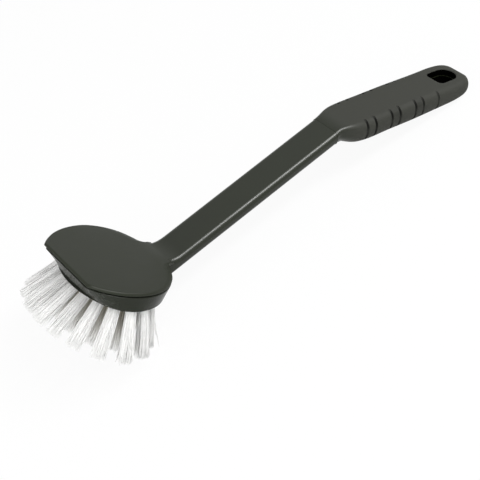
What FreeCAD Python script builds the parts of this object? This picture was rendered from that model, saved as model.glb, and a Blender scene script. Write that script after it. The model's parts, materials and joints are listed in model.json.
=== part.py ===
import FreeCAD, Part
import math
import os

import Sketcher
from FreeCAD import Placement, Rotation, Vector

# A hand dish brush: a hard plastic handle whose flat neck rises from a wide head cap with a straight
# scraper lip, a soft grip moulded round the handle's core, and a bristle block under the cap that
# carries three rows of filament tufts, each held in its hole by a flat anchor wire.
#
# Everything is drawn in the frame of the head: the origin is the middle of the scraper lip on the
# seam between cap and block, X runs to the handle and Z is square to the seam. The finished pieces
# are then set down together as the brush lies on a table, on its rear bristle tips and its grip end.

# Lengths in millimetres, angles in degrees.
SIZES = {
    # head cap
    "lip_width": 39.4,
    "head_width": 67.4,
    "widest_at": 28.8,
    "rear_radius": 27.9,
    "cap_height": 2.6,
    "seam_gap": 0.8,
    "seam_depth": 1.6,
    "rim_height": 0.6,
    "lip_bevel": 0.5,
    "top_set_back": 0.9,
    "edge_set_back": 0.3,
    "edge_drop": 0.45,
    "top_inset": 6.9,
    "rim_blend": 7.0,
    "top_blend": 10.0,
    "cap_root": 3.2,
    # bristle block
    "lip_overhang": 0.9,
    "block_front_width": 37.0,
    "block_height": 9.9,
    "block_draft": 1.6,
    "foot_set_back": 6.6,
    "foot_side_radius": 20.0,
    "foot_bevel": 0.7,
    "seam_bevel": 0.4,
    # neck
    "neck_foot": 63.0,
    "neck_angle": 38.1,
    "neck_width": 20.6,
    "neck_thickness": 7.2,
    "neck_length": 115.0,
    "neck_round": 3.0,
    "foot_radius": 16.0,
    "heel_gap": 0.2,
    "heel_rise": 0.8,
    # core inside the grip
    "grip_angle": 18.2,
    "core_width": 17.0,
    "core_thickness": 5.0,
    "core_cover": 2.0,
    "core_root": 2.0,
    "core_end_cover": 3.4,
    "core_end_round": 8.0,
    "eyelet_inset": 0.7,
    # grip sleeve
    "grip_length": 107.5,
    "collar_proud": 0.15,
    "belly_radius": 9.3,
    "hole_length": 17.0,
    "hole_width": 13.2,
    "hole_corner": 3.0,
    "hole_to_end": 5.5,
    "hole_round": 0.8,
    "groove_first": 19.3,
    "groove_pair": 6.4,
    "groove_pitch": 19.0,
    "groove_radius": 0.85,
    "groove_drop": 3.7,
    "groove_ring": 7.9,
    "groove_lift": 0.16,
    "groove_swing": 140.0,
    # tufts
    "tuft_hole": 5.4,
    "tuft_hole_depth": 6.4,
    "tuft_clearance": 0.05,
    "tuft_collar": 2.6,
    "tuft_tip": 8.0,
    "tuft_length": 28.0,
    "row_edge": 4.6,
    "row_rear_edge": 7.6,
    "row_step": 8.8,
    "inner_pitch": 6.6,
    "inner_fan": 3.6,
    "side_lean": 16.0,
    "front_lean": 44.0,
    "rear_lean": 9.0,
    # anchor wires
    "wire_thickness": 0.4,
    "wire_height": 1.6,
    "wire_bite": 0.5,
    "wire_floor": 0.6,
}

# Sections of the grip along its axis. Each has its place, half width, top and bottom measured from
# the top edge of the neck where the sleeve begins, and the radius of its upper corners. The last
# five are placed from the grip's end.
GRIP_SECTIONS = {
    "flare": (6.0, 11.0, 2.1, -8.7, 2.4),
    "swell": (12.0, 13.1, 2.6, -11.0, 3.4),
    "palm": (20.0, 14.4, 2.75, -12.1, 4.6),
    "hold": (36.0, 14.4, 2.75, -12.2, 4.6),
    "belly": (54.0, 14.4, 2.75, -12.3, 4.6),
    "tail": (24.0, 14.1, 2.5, -11.6, 4.6),
    "end": (9.6, 13.8, 2.3, -10.2, 4.6),
    "nose": (4.0, 12.2, 2.0, -8.8, 4.6),
    "tip": (1.1, 9.0, 1.2, -6.8, 4.6),
    "close": (0.0, 6.0, 0.2, -5.2, 4.6),
}
PLACED_FROM_END = ("tail", "end", "nose", "tip", "close")

# Where a section is too low for the full corner radii they take these shares of its height.
SHOULDER_SHARE = 0.42
BELLY_SHARE = 0.54

# Grooves on each side of the grip, and how many of them have a second one beside them.
GROOVE_COUNT = 4
PAIR_COUNT = 3

# Tufts in each row, the middle row's share of the outer row's lean, and how fast the lean grows
# from the sides to the front and rear.
OUTER_COUNT = 18
MIDDLE_COUNT = 11
INNER_COUNT = 4
MIDDLE_LEAN_SHARE = 0.5
LEAN_POWER = 1.4

# How far a hole's cylinder runs out of the block, steps round a row, the steepest turn tried for
# the brush at rest and how finely it is found, the mesh for that, and what counts as touching.
HOLE_OVERRUN = 4.0
ROW_STEPS = 3600
STEEPEST_TURN = 80.0
TURN_STEP = 1e-9
MESH_STEP = 0.05
TOUCH = 1e-4

doc = FreeCAD.newDocument("dish_brush")
sheet = doc.addObject("Spreadsheet::Sheet", "Sizes")


def fill_sheet():
    """Write every driving size into the sheet under its own name."""
    rows = dict(SIZES)
    for name, (place, half_width, top, bottom, shoulder) in GRIP_SECTIONS.items():
        rows[name + "_place"] = place
        rows[name + "_half_width"] = half_width
        rows[name + "_top"] = top
        rows[name + "_bottom"] = bottom
        rows[name + "_shoulder"] = shoulder
    for row, (name, value) in enumerate(rows.items(), start=1):
        sheet.set(f"A{row}", name)
        sheet.set(f"B{row}", str(value))
        sheet.setAlias(f"B{row}", name)
    doc.recompute()


def size(name):
    """The value of one named size."""
    return float(sheet.get(name))


def value_of(expression):
    """The number that an expression in sheet names works out to."""
    return float(sheet.evalExpression(expression))


def plane(body, role):
    """One of a body's own origin planes."""
    return next(item for item in body.Origin.OriginFeatures if item.Role == role)


def new_sketch(body, name, role, offset=None):
    """An empty sketch on one of the body's origin planes."""
    sketch = body.newObject("Sketcher::SketchObject", name)
    sketch.AttachmentSupport = [(plane(body, role), "")]
    sketch.MapMode = "FlatFace"
    if offset is not None:
        sketch.setExpression("AttachmentOffset.Base.z", offset)
    return sketch


def bind(sketch, kind, places, expression):
    """Add a constraint whose value comes from the sheet."""
    index = sketch.addConstraint(Sketcher.Constraint(kind, *places, value_of(expression)))
    sketch.setExpression(f"Constraints[{index}]", expression)


def link(sketch, kind, *places):
    """Add a constraint without a value."""
    sketch.addConstraint(Sketcher.Constraint(kind, *places))


def point_at(sketch, edge, end, x, y, side=1):
    """Fix one point of an edge by its distances from the sketch's origin."""
    bind(sketch, "DistanceX", (-1, 1, edge, end), x)
    if side > 0:
        bind(sketch, "DistanceY", (-1, 1, edge, end), y)
    else:
        bind(sketch, "DistanceY", (edge, end, -1, 1), y)


def add_arc(sketch, centre, radius, start, end):
    """An arc from one point to another, counterclockwise about its centre."""
    angles = [math.atan2(p[1] - centre[1], p[0] - centre[0]) for p in (start, end)]
    if angles[1] <= angles[0]:
        angles[1] += 2 * math.pi
    circle = Part.Circle(Vector(*centre, 0), Vector(0, 0, 1), radius)
    return sketch.addGeometry(Part.ArcOfCircle(circle, *angles))


def add_line(sketch, start, end):
    """A straight edge between two points."""
    return sketch.addGeometry(Part.LineSegment(Vector(*start, 0), Vector(*end, 0)))


START, END, CENTRE = 1, 2, 3


def head_outline(sketch, front, half_front, half_width, rear_radius, blend=None, nose=None):
    """Outline of the head seen from above: a straight lip, or a rounded nose of the given side
    radius, then arcs out to the widest place and back in to the rear or into the neck."""
    widest = "Sizes.widest_at"
    neck = "Sizes.neck_width / 2"
    x_front, y_front, y_wide, r_rear, x_wide, y_neck = (
        value_of(e) for e in (front, half_front, half_width, rear_radius, widest, neck)
    )
    if nose is None:
        rise = y_wide - y_front
        r_side = ((x_wide - x_front) ** 2 + rise**2) / (2 * rise)
        corner = (x_front, y_front)
    else:
        r_side = value_of(nose)
        y_side = y_wide - r_side
        reach = x_wide - x_front
        r_nose = (reach**2 + y_side**2 - r_side**2) / (2 * (reach - r_side))
        centre_nose = (x_front + r_nose, 0.0)
        share = r_nose / (r_nose - r_side)
        corner = (
            centre_nose[0] + (x_wide - centre_nose[0]) * share,
            y_side * share,
        )
    y_rear = y_wide - r_rear
    if blend is None:
        turn = (x_wide + r_rear, y_rear)
        last = turn
    else:
        r_blend = value_of(blend)
        y_blend = y_neck + r_blend
        x_last = x_wide + math.sqrt((r_rear + r_blend) ** 2 - (y_blend - y_rear) ** 2)
        share = r_rear / (r_rear + r_blend)
        turn = (x_wide + (x_last - x_wide) * share, y_rear + (y_blend - y_rear) * share)
        last = (x_last, y_neck)

    wide = (x_wide, y_wide)
    ends = []
    corners = []
    for side in (1, -1):
        def at(point):
            return (point[0], side * point[1])

        def arc(centre, radius, start, end):
            first, second = (start, end) if side > 0 else (end, start)
            edge = add_arc(sketch, at(centre), radius, at(first), at(second))
            return edge, (START, END) if side > 0 else (END, START)

        front_arc, (wide_end, corner_end) = arc((x_wide, y_wide - r_side), r_side, wide, corner)
        rear_arc, (turn_end, rear_wide_end) = arc((x_wide, y_rear), r_rear, turn, wide)
        link(sketch, "Coincident", front_arc, wide_end, rear_arc, rear_wide_end)
        point_at(sketch, front_arc, wide_end, widest, half_width, side)
        bind(sketch, "DistanceX", (-1, 1, front_arc, CENTRE), widest)
        bind(sketch, "DistanceX", (-1, 1, rear_arc, CENTRE), widest)
        bind(sketch, "Radius", (rear_arc,), rear_radius)
        if nose is None:
            point_at(sketch, front_arc, corner_end, front, half_front, side)
        else:
            bind(sketch, "Radius", (front_arc,), nose)
        corners.append((front_arc, corner_end))
        if blend is None:
            link(sketch, "Horizontal", rear_arc, CENTRE, rear_arc, turn_end)
            ends.append((rear_arc, turn_end))
            continue
        blend_arc, (blend_start, blend_end) = arc((x_last, y_blend), r_blend, turn, last)
        link(sketch, "Tangent", rear_arc, turn_end, blend_arc, blend_start)
        bind(sketch, "Radius", (blend_arc,), blend)
        link(sketch, "Vertical", blend_arc, CENTRE, blend_arc, blend_end)
        if side > 0:
            bind(sketch, "DistanceY", (-1, 1, blend_arc, blend_end), neck)
        else:
            bind(sketch, "DistanceY", (blend_arc, blend_end, -1, 1), neck)
        ends.append((blend_arc, blend_end))

    rear = add_line(sketch, (last[0], -last[1]), last)
    link(sketch, "Coincident", rear, END, *ends[0])
    link(sketch, "Coincident", rear, START, *ends[1])
    if nose is None:
        lip = add_line(sketch, corner, (corner[0], -corner[1]))
        link(sketch, "Coincident", lip, START, *corners[0])
        link(sketch, "Coincident", lip, END, *corners[1])
        return
    nose_arc = add_arc(sketch, centre_nose, r_nose, corner, (corner[0], -corner[1]))
    link(sketch, "Tangent", nose_arc, START, *corners[0])
    link(sketch, "Tangent", nose_arc, END, *corners[1])
    reach = f"({widest} - {front})"
    side_offset = f"({half_width} - {nose})"
    nose_radius = f"({reach}^2 + {side_offset}^2 - {nose}^2) / (2 * ({reach} - {nose}))"
    bind(sketch, "Radius", (nose_arc,), nose_radius)


def loft(body, name, sketches):
    """A straight-walled solid through closed outlines."""
    feature = body.newObject("PartDesign::AdditiveLoft", name)
    feature.Profile = sketches[0]
    feature.Sections = sketches[1:]
    return feature


def polygon(sketch, points):
    """A closed run of lines through the points; returns the edges in order."""
    count = len(points)
    edges = [add_line(sketch, points[i], points[(i + 1) % count]) for i in range(count)]
    for i in range(count):
        link(sketch, "Coincident", edges[i], END, edges[(i + 1) % count], START)
    return edges


def edges_where(feature, test):
    """Names of the feature's edges whose two ends and middle all pass the test."""
    names = []
    for number, edge in enumerate(feature.Shape.Edges, start=1):
        first, last = edge.ParameterRange
        points = [edge.valueAt(p) for p in (first, (first + last) / 2, last)]
        if all(test(point) for point in points):
            names.append(f"Edge{number}")
    return names


def round_edges(body, name, feature, test, radius):
    """Round the edges of a feature that pass the test."""
    doc.recompute()
    fillet = body.newObject("PartDesign::Fillet", name)
    fillet.Base = (feature, edges_where(feature, test))
    fillet.setExpression("Radius", radius)
    doc.recompute()
    return fillet


def pad(body, name, sketch, length, midplane=False):
    """Extrude an outline, to one side or evenly to both."""
    feature = body.newObject("PartDesign::Pad", name)
    feature.Profile = sketch
    feature.setExpression("Length", length)
    if midplane:
        feature.SideType = "Symmetric"
    return feature


def hole_outline(sketch, inset):
    """The hanging hole: a round outer end and a squarer inner end with small corners."""
    radius = f"(Sizes.hole_width / 2 - {inset})"
    corner = f"(Sizes.hole_corner - {inset})"
    round_at = "Sizes.grip_length - Sizes.hole_to_end - Sizes.hole_width / 2"
    inner_at = f"Sizes.grip_length - Sizes.hole_to_end - Sizes.hole_length + {inset}"
    r, c, xo, xi = (value_of(e) for e in (radius, corner, round_at, inner_at))
    outer = add_arc(sketch, (xo, 0), r, (xo, -r), (xo, r))
    upper = add_line(sketch, (xo, r), (xi + c, r))
    upper_corner = add_arc(sketch, (xi + c, r - c), c, (xi + c, r), (xi, r - c))
    inner = add_line(sketch, (xi, r - c), (xi, c - r))
    lower_corner = add_arc(sketch, (xi + c, c - r), c, (xi, c - r), (xi + c, -r))
    lower = add_line(sketch, (xi + c, -r), (xo, -r))
    run = [outer, upper, upper_corner, inner, lower_corner, lower]
    for edge, following in zip(run, run[1:] + run[:1]):
        link(sketch, "Tangent", edge, END, following, START)
    link(sketch, "Horizontal", upper)
    link(sketch, "Horizontal", lower)
    link(sketch, "Vertical", inner)
    link(sketch, "PointOnObject", outer, CENTRE, -1)
    bind(sketch, "DistanceX", (-1, 1, outer, CENTRE), round_at)
    bind(sketch, "Radius", (outer,), radius)
    bind(sketch, "DistanceX", (-1, 1, inner, START), inner_at)
    bind(sketch, "Radius", (upper_corner,), corner)
    bind(sketch, "Radius", (lower_corner,), corner)


def through_pocket(body, name, sketch):
    """Cut an outline through the whole body."""
    pocket = body.newObject("PartDesign::Pocket", name)
    pocket.Profile = sketch
    pocket.Type = "ThroughAll"
    pocket.SideType = "Symmetric"
    return pocket


# Where the sleeve begins: the end of the neck's top edge, and the way the grip runs from there.
SLEEVE_X = "(Sizes.neck_foot + Sizes.neck_length * cos(Sizes.neck_angle * 1 deg))"
SLEEVE_Z = "(Sizes.cap_height + Sizes.neck_length * sin(Sizes.neck_angle * 1 deg))"
GRIP_COS = "cos(Sizes.grip_angle * 1 deg)"
GRIP_SIN = "sin(Sizes.grip_angle * 1 deg)"
FOOT_TANGENT = "Sizes.foot_radius * tan(Sizes.neck_angle * 1 deg / 2)"
BLOCK_REAR = "(Sizes.widest_at + Sizes.rear_radius)"
FOOT_REAR = f"({BLOCK_REAR} - Sizes.block_draft)"

# The level under the cap's top edge lies between the rim and the top, by its share of the set back.
EDGE_SHARE = "(Sizes.edge_set_back / Sizes.top_set_back)"
EDGE_INSET = f"Sizes.top_inset * {EDGE_SHARE}"
EDGE_BLEND = f"Sizes.rim_blend + (Sizes.top_blend - Sizes.rim_blend) * {EDGE_SHARE}"


def neck_profile(sketch):
    """Side view of the neck with its foot blend and the heel behind the bristle block."""
    blend_x = f"Sizes.neck_foot - {FOOT_TANGENT}"
    top_length = f"Sizes.neck_length - {FOOT_TANGENT}"
    inside = f"{BLOCK_REAR} - Sizes.cap_root"
    heel_depth = "Sizes.block_height - Sizes.heel_rise"
    heel_top = f"{BLOCK_REAR} + Sizes.heel_gap"
    heel_foot = f"{heel_top} - Sizes.block_draft * ({heel_depth}) / Sizes.block_height"
    neck, grip = (math.radians(size(n)) for n in ("neck_angle", "grip_angle"))
    cap, seam, radius = (size(n) for n in ("cap_height", "seam_gap", "foot_radius"))
    x_in, x_blend, x_heel, x_foot, z_foot = (
        value_of(e) for e in (inside, blend_x, heel_top, heel_foot, f"-({heel_depth})")
    )
    x_end, z_end = value_of(SLEEVE_X), value_of(SLEEVE_Z)
    rise = (x_blend + radius * math.sin(neck), cap + radius * (1 - math.cos(neck)))
    depth = size("neck_thickness") / math.cos(neck - grip)
    under = (x_end + depth * math.sin(grip), z_end - depth * math.cos(grip))
    heel_x = under[0] + (z_foot - under[1]) / math.tan(neck)

    cap_top = add_line(sketch, (x_in, cap), (x_blend, cap))
    blend = add_arc(sketch, (x_blend, cap + radius), radius, (x_blend, cap), rise)
    top = add_line(sketch, rise, (x_end, z_end))
    end = add_line(sketch, under, (x_end, z_end))
    bottom = add_line(sketch, under, (heel_x, z_foot))
    heel = add_line(sketch, (heel_x, z_foot), (x_foot, z_foot))
    front = add_line(sketch, (x_foot, z_foot), (x_heel, seam))
    step = add_line(sketch, (x_heel, seam), (x_in, seam))
    close = add_line(sketch, (x_in, seam), (x_in, cap))

    link(sketch, "Tangent", cap_top, END, blend, START)
    link(sketch, "Tangent", blend, END, top, START)
    link(sketch, "Coincident", top, END, end, END)
    link(sketch, "Coincident", end, START, bottom, START)
    run = [bottom, heel, front, step, close, cap_top]
    for edge, following in zip(run, run[1:]):
        link(sketch, "Coincident", edge, END, following, START)
    for edge in (cap_top, heel, step):
        link(sketch, "Horizontal", edge)
    link(sketch, "Vertical", close)
    bind(sketch, "Angle", (top,), "Sizes.neck_angle * 1 deg")
    link(sketch, "Parallel", top, bottom)
    bind(sketch, "Angle", (end,), "(90 + Sizes.grip_angle) * 1 deg")
    bind(sketch, "Radius", (blend,), "Sizes.foot_radius")
    point_at(sketch, cap_top, START, inside, "Sizes.cap_height")
    bind(sketch, "DistanceX", (-1, 1, cap_top, END), blend_x)
    bind(sketch, "Distance", (top,), top_length)
    bind(sketch, "Distance", (bottom, START, top), "Sizes.neck_thickness")
    bind(sketch, "DistanceY", (heel, START, -1, 1), heel_depth)
    bind(sketch, "DistanceX", (-1, 1, front, START), heel_foot)
    point_at(sketch, front, END, heel_top, "Sizes.seam_gap")


def core_profile(sketch):
    """Side view of the core, a straight bar along the grip that starts inside the neck."""
    start_x = f"{SLEEVE_X} - Sizes.core_root * {GRIP_COS} + Sizes.core_cover * {GRIP_SIN}"
    start_z = f"{SLEEVE_Z} - Sizes.core_root * {GRIP_SIN} - Sizes.core_cover * {GRIP_COS}"
    length = "Sizes.grip_length - Sizes.core_end_cover + Sizes.core_root"
    along = Vector(value_of(GRIP_COS), value_of(GRIP_SIN), 0)
    across = Vector(along.y, -along.x, 0)
    corner = Vector(value_of(start_x), value_of(start_z), 0)
    far = corner + along * value_of(length)
    drop = across * size("core_thickness")
    points = [corner, far, far + drop, corner + drop]
    top, end, bottom, start = polygon(sketch, [(p.x, p.y) for p in points])
    point_at(sketch, top, START, start_x, start_z)
    bind(sketch, "Angle", (top,), "Sizes.grip_angle * 1 deg")
    bind(sketch, "Distance", (top,), length)
    bind(sketch, "Angle", (start,), "(90 + Sizes.grip_angle) * 1 deg")
    bind(sketch, "Distance", (start,), "Sizes.core_thickness")
    link(sketch, "Parallel", bottom, top)
    link(sketch, "Parallel", end, start)


def make_handle():
    """The hard moulding: neck and heel, core with its eyelet, head cap and its seam step."""
    body = doc.addObject("PartDesign::Body", "handle")
    side_view = new_sketch(body, "neck_side", "XZ_Plane")
    neck_profile(side_view)
    neck = pad(body, "neck", side_view, "Sizes.neck_width", midplane=True)
    half = size("neck_width") / 2
    reach = value_of(f"Sizes.neck_foot - {FOOT_TANGENT}") - TOUCH

    def long_edge(point):
        return abs(abs(point.y) - half) < TOUCH and point.x > reach

    doc.recompute()
    fillet = body.newObject("PartDesign::Fillet", "neck_edges")
    rounded = [name for name in edges_where(neck, long_edge) if not is_end_edge(neck, name)]
    fillet.Base = (neck, rounded)
    fillet.setExpression("Radius", "Sizes.neck_round")

    core_view = new_sketch(body, "core_side", "XZ_Plane")
    core_profile(core_view)
    core = pad(body, "core", core_view, "Sizes.core_width", midplane=True)
    tip_x = value_of(f"{SLEEVE_X} + (Sizes.grip_length - Sizes.core_end_cover) * {GRIP_COS}")
    core_half = size("core_width") / 2

    def end_corner(point):
        return abs(abs(point.y) - core_half) < TOUCH and point.x > tip_x - TOUCH

    round_edges(body, "core_end", core, end_corner, "Sizes.core_end_round")
    eyelet = new_sketch(body, "eyelet_outline", "XY_Plane")
    tilt = Rotation(Vector(0, -1, 0), size("grip_angle"))
    eyelet.AttachmentOffset = Placement(Vector(value_of(SLEEVE_X), 0, value_of(SLEEVE_Z)), tilt)
    eyelet.setExpression("AttachmentOffset.Base.x", SLEEVE_X)
    eyelet.setExpression("AttachmentOffset.Base.z", SLEEVE_Z)
    eyelet.setExpression("AttachmentOffset.Rotation.Angle", "Sizes.grip_angle * 1 deg")
    hole_outline(eyelet, "Sizes.eyelet_inset")
    through_pocket(body, "eyelet", eyelet)

    rim = ("0", "Sizes.lip_width / 2", "Sizes.head_width / 2", "Sizes.rear_radius")
    under = ("Sizes.lip_bevel", *rim[1:])
    edge, top = (
        (
            set_back,
            f"Sizes.lip_width / 2 - {set_back}",
            f"Sizes.head_width / 2 - {set_back}",
            f"Sizes.rear_radius - {inset}",
        )
        for set_back, inset in (
            ("Sizes.edge_set_back", EDGE_INSET),
            ("Sizes.top_set_back", "Sizes.top_inset"),
        )
    )
    levels = []
    for name, height, outline, blend in (
        ("rim_low", "Sizes.seam_gap", under, "Sizes.rim_blend"),
        ("rim_high", "Sizes.seam_gap + Sizes.rim_height", rim, "Sizes.rim_blend"),
        ("cap_edge", "Sizes.cap_height - Sizes.edge_drop", edge, EDGE_BLEND),
        ("cap_top", "Sizes.cap_height", top, "Sizes.top_blend"),
    ):
        sketch = new_sketch(body, name, "XY_Plane", height)
        head_outline(sketch, *outline, blend=blend)
        levels.append(sketch)
    cap_loft = loft(body, "cap", levels)
    cap_loft.Ruled = True
    seam = new_sketch(body, "seam_outline", "XY_Plane")
    head_outline(
        seam,
        "Sizes.lip_overhang + Sizes.seam_depth",
        "Sizes.block_front_width / 2 - Sizes.seam_depth / 2",
        "Sizes.head_width / 2 - Sizes.seam_depth",
        "Sizes.rear_radius - Sizes.seam_depth",
    )
    pad(body, "seam_step", seam, "Sizes.seam_gap")
    doc.recompute()
    return body


def is_end_edge(feature, name):
    """True for an edge on the plane where the neck ends and the sleeve begins."""
    edge = feature.Shape.getElement(name)
    along = Vector(value_of(GRIP_COS), 0, value_of(GRIP_SIN))
    end = Vector(value_of(SLEEVE_X), 0, value_of(SLEEVE_Z))
    return all(abs((v.Point - end).dot(along)) < TOUCH for v in edge.Vertexes)


def make_block():
    """The bristle block as a solid, before its holes: a straight front at the seam, a round nose at
    the foot, and a small bevel along both edges."""
    body = doc.addObject("PartDesign::Body", "block_blank")
    half_width = "Sizes.head_width / 2"
    seam = (
        "Sizes.lip_overhang",
        "Sizes.block_front_width / 2",
        half_width,
        "Sizes.rear_radius",
    )
    inner_seam = (
        f"{seam[0]} + Sizes.seam_bevel",
        f"{seam[1]} - Sizes.seam_bevel / 2",
        f"{seam[2]} - Sizes.seam_bevel",
        f"{seam[3]} - Sizes.seam_bevel",
    )
    foot = (
        "Sizes.foot_set_back",
        "0",
        f"{half_width} - Sizes.block_draft",
        "Sizes.rear_radius - Sizes.block_draft",
    )
    inner_foot = (
        f"{foot[0]} + Sizes.foot_bevel",
        "0",
        f"{foot[2]} - Sizes.foot_bevel",
        f"{foot[3]} - Sizes.foot_bevel",
    )
    nose = "Sizes.foot_side_radius"
    levels = []
    for name, height, outline, nose_radius in (
        ("block_top", "0", inner_seam, None),
        ("block_seam", "-Sizes.seam_bevel", seam, None),
        ("block_foot", "Sizes.foot_bevel - Sizes.block_height", foot, nose),
        ("block_floor", "-Sizes.block_height", inner_foot, f"({nose} - Sizes.foot_bevel)"),
    ):
        sketch = new_sketch(body, name, "XY_Plane", height)
        head_outline(sketch, *outline, nose=nose_radius)
        levels.append(sketch)
    walls = loft(body, "block_walls", levels)
    walls.Ruled = True
    doc.recompute()
    return body


def grip_section(sketch, half_width, top, bottom, shoulder, belly):
    """One cross section of the grip: flat top, small upper corners and large lower ones."""
    w, t, b, ru, rl = (value_of(e) for e in (half_width, top, bottom, shoulder, belly))
    upper = add_line(sketch, (ru - w, t), (w - ru, t))
    right_shoulder = add_arc(sketch, (w - ru, t - ru), ru, (w, t - ru), (w - ru, t))
    right = add_line(sketch, (w, t - ru), (w, b + rl))
    right_belly = add_arc(sketch, (w - rl, b + rl), rl, (w - rl, b), (w, b + rl))
    lower = add_line(sketch, (w - rl, b), (rl - w, b))
    left_belly = add_arc(sketch, (rl - w, b + rl), rl, (-w, b + rl), (rl - w, b))
    left = add_line(sketch, (-w, b + rl), (-w, t - ru))
    left_shoulder = add_arc(sketch, (ru - w, t - ru), ru, (ru - w, t), (-w, t - ru))
    link(sketch, "Tangent", upper, END, right_shoulder, END)
    link(sketch, "Tangent", right_shoulder, START, right, START)
    link(sketch, "Tangent", right, END, right_belly, END)
    link(sketch, "Tangent", right_belly, START, lower, START)
    link(sketch, "Tangent", lower, END, left_belly, END)
    link(sketch, "Tangent", left_belly, START, left, START)
    link(sketch, "Tangent", left, END, left_shoulder, END)
    link(sketch, "Tangent", left_shoulder, START, upper, START)
    for edge, radius in (
        (right_shoulder, shoulder),
        (left_shoulder, shoulder),
        (right_belly, belly),
        (left_belly, belly),
    ):
        bind(sketch, "Radius", (edge,), radius)
    bind(sketch, "DistanceY", (-1, 1, upper, START), top)
    bind(sketch, "DistanceY", (-1, 1, lower, START), bottom)
    bind(sketch, "DistanceX", (-1, 1, right, START), half_width)
    bind(sketch, "DistanceX", (left, START, -1, 1), half_width)
    link(sketch, "Horizontal", upper)
    link(sketch, "Horizontal", lower)
    link(sketch, "Vertical", right)
    link(sketch, "Vertical", left)


def groove_row(body, name, place, count, side):
    """Grooves down one side of the grip: each curves from the belly over the side and fades out on
    the shoulder."""
    level = "-Sizes.groove_drop"
    reach = "(Sizes.palm_half_width + Sizes.groove_lift)"
    centre = f"({reach} - Sizes.groove_ring)"
    sketch = new_sketch(body, name + "_outline", "XY_Plane", level)
    x = value_of(place)
    y = side * value_of(centre)
    rim = Vector(x, side * value_of(reach), 0)
    circle = sketch.addGeometry(Part.Circle(rim, Vector(0, 0, 1), size("groove_radius")))
    axis = sketch.addGeometry(Part.LineSegment(Vector(0, y, 0), Vector(x, y, 0)), True)
    point_at(sketch, circle, CENTRE, place, reach, side)
    bind(sketch, "Radius", (circle,), "Sizes.groove_radius")
    link(sketch, "Horizontal", axis)
    link(sketch, "PointOnObject", axis, START, -2)
    point_at(sketch, axis, END, place, centre, side)
    ring = body.newObject("PartDesign::Groove", name)
    ring.Profile = sketch
    ring.ReferenceAxis = (sketch, ["Axis0"])
    ring.setExpression("Angle", "Sizes.groove_swing * 1 deg")
    ring.Midplane = True
    doc.recompute()
    row = body.newObject("PartDesign::LinearPattern", name + "s")
    row.Originals = [ring]
    axis_x = next(item for item in body.Origin.OriginFeatures if item.Role == "X_Axis")
    row.Direction = (axis_x, [""])
    row.Occurrences = count
    row.setExpression("Length", f"Sizes.groove_pitch * {count - 1}")
    body.Tip = row
    doc.recompute()


def make_grip():
    """The outside of the grip as a full solid, drawn along its own axis."""
    body = doc.addObject("PartDesign::Body", "grip_blank")
    collar = new_sketch(body, "collar", "YZ_Plane", "0")
    neck_depth = "Sizes.neck_thickness / cos((Sizes.neck_angle - Sizes.grip_angle) * 1 deg)"
    grip_section(
        collar,
        "Sizes.neck_width / 2 + Sizes.collar_proud",
        "Sizes.collar_proud",
        f"-{neck_depth} - Sizes.collar_proud",
        "Sizes.neck_round",
        "Sizes.neck_round",
    )
    sections = [collar]
    for name in GRIP_SECTIONS:
        place = f"Sizes.{name}_place"
        if name in PLACED_FROM_END:
            place = f"Sizes.grip_length - {place}"
        sketch = new_sketch(body, name + "_section", "YZ_Plane", place)
        half_width = f"Sizes.{name}_half_width"
        top = f"Sizes.{name}_top"
        bottom = f"Sizes.{name}_bottom"
        height = f"({top} - {bottom})"
        shoulder = f"min(Sizes.{name}_shoulder; {height} * {SHOULDER_SHARE})"
        belly = f"min(Sizes.belly_radius; {height} * {BELLY_SHARE})"
        grip_section(sketch, half_width, top, bottom, shoulder, belly)
        sections.append(sketch)
    loft(body, "grip_skin", sections)
    doc.recompute()
    for side, name in ((1, "left"), (-1, "right")):
        groove_row(body, name + "_groove", "Sizes.groove_first", GROOVE_COUNT, side)
        second = "(Sizes.groove_first + Sizes.groove_pair)"
        groove_row(body, name + "_second_groove", second, PAIR_COUNT, side)
    outline = new_sketch(body, "hole_outline", "XY_Plane")
    hole_outline(outline, "0")
    hole = through_pocket(body, "hanging_hole", outline)
    half = size("hole_width") / 2 + TOUCH
    outer = value_of("Sizes.grip_length - Sizes.hole_to_end") + TOUCH
    inner = outer - size("hole_length") - 2 * TOUCH
    doc.recompute()

    def hole_rim(point):
        return abs(point.y) < half and inner < point.x < outer

    names = [
        name
        for name in edges_where(hole, hole_rim)
        if hole.Shape.getElement(name).BoundBox.ZLength < size("hole_corner")
    ]
    fillet = body.newObject("PartDesign::Fillet", "hole_rims")
    fillet.Base = (hole, names)
    fillet.setExpression("Radius", "Sizes.hole_round")
    doc.recompute()
    return body


def ring_spots(count, inset, lean_share):
    """Evenly spaced places round an ellipse inside the block's foot, each with its direction."""
    rear = value_of(FOOT_REAR) - size("row_rear_edge")
    front = size("foot_set_back") + size("row_edge")
    half_x = (rear - front) / 2 - inset
    half_y = size("head_width") / 2 - size("block_draft") - size("row_edge") - inset
    angles = [2 * math.pi * i / ROW_STEPS for i in range(ROW_STEPS + 1)]
    points = [Vector(half_x * math.cos(a), half_y * math.sin(a), 0) for a in angles]
    travelled = [0.0]
    for first, second in zip(points, points[1:]):
        travelled.append(travelled[-1] + (second - first).Length)
    spots = []
    for i in range(count):
        target = travelled[-1] * i / count
        point = points[next(k for k, run in enumerate(travelled) if run >= target)]
        outward = Vector(point.x / half_x**2, point.y / half_y**2, 0).normalize()
        end_lean = size("front_lean") if outward.x < 0 else size("rear_lean")
        lean = size("side_lean") + (end_lean - size("side_lean")) * abs(outward.x) ** LEAN_POWER
        spots.append((point + Vector((rear + front) / 2, 0, 0), outward, lean * lean_share))
    return spots


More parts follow.
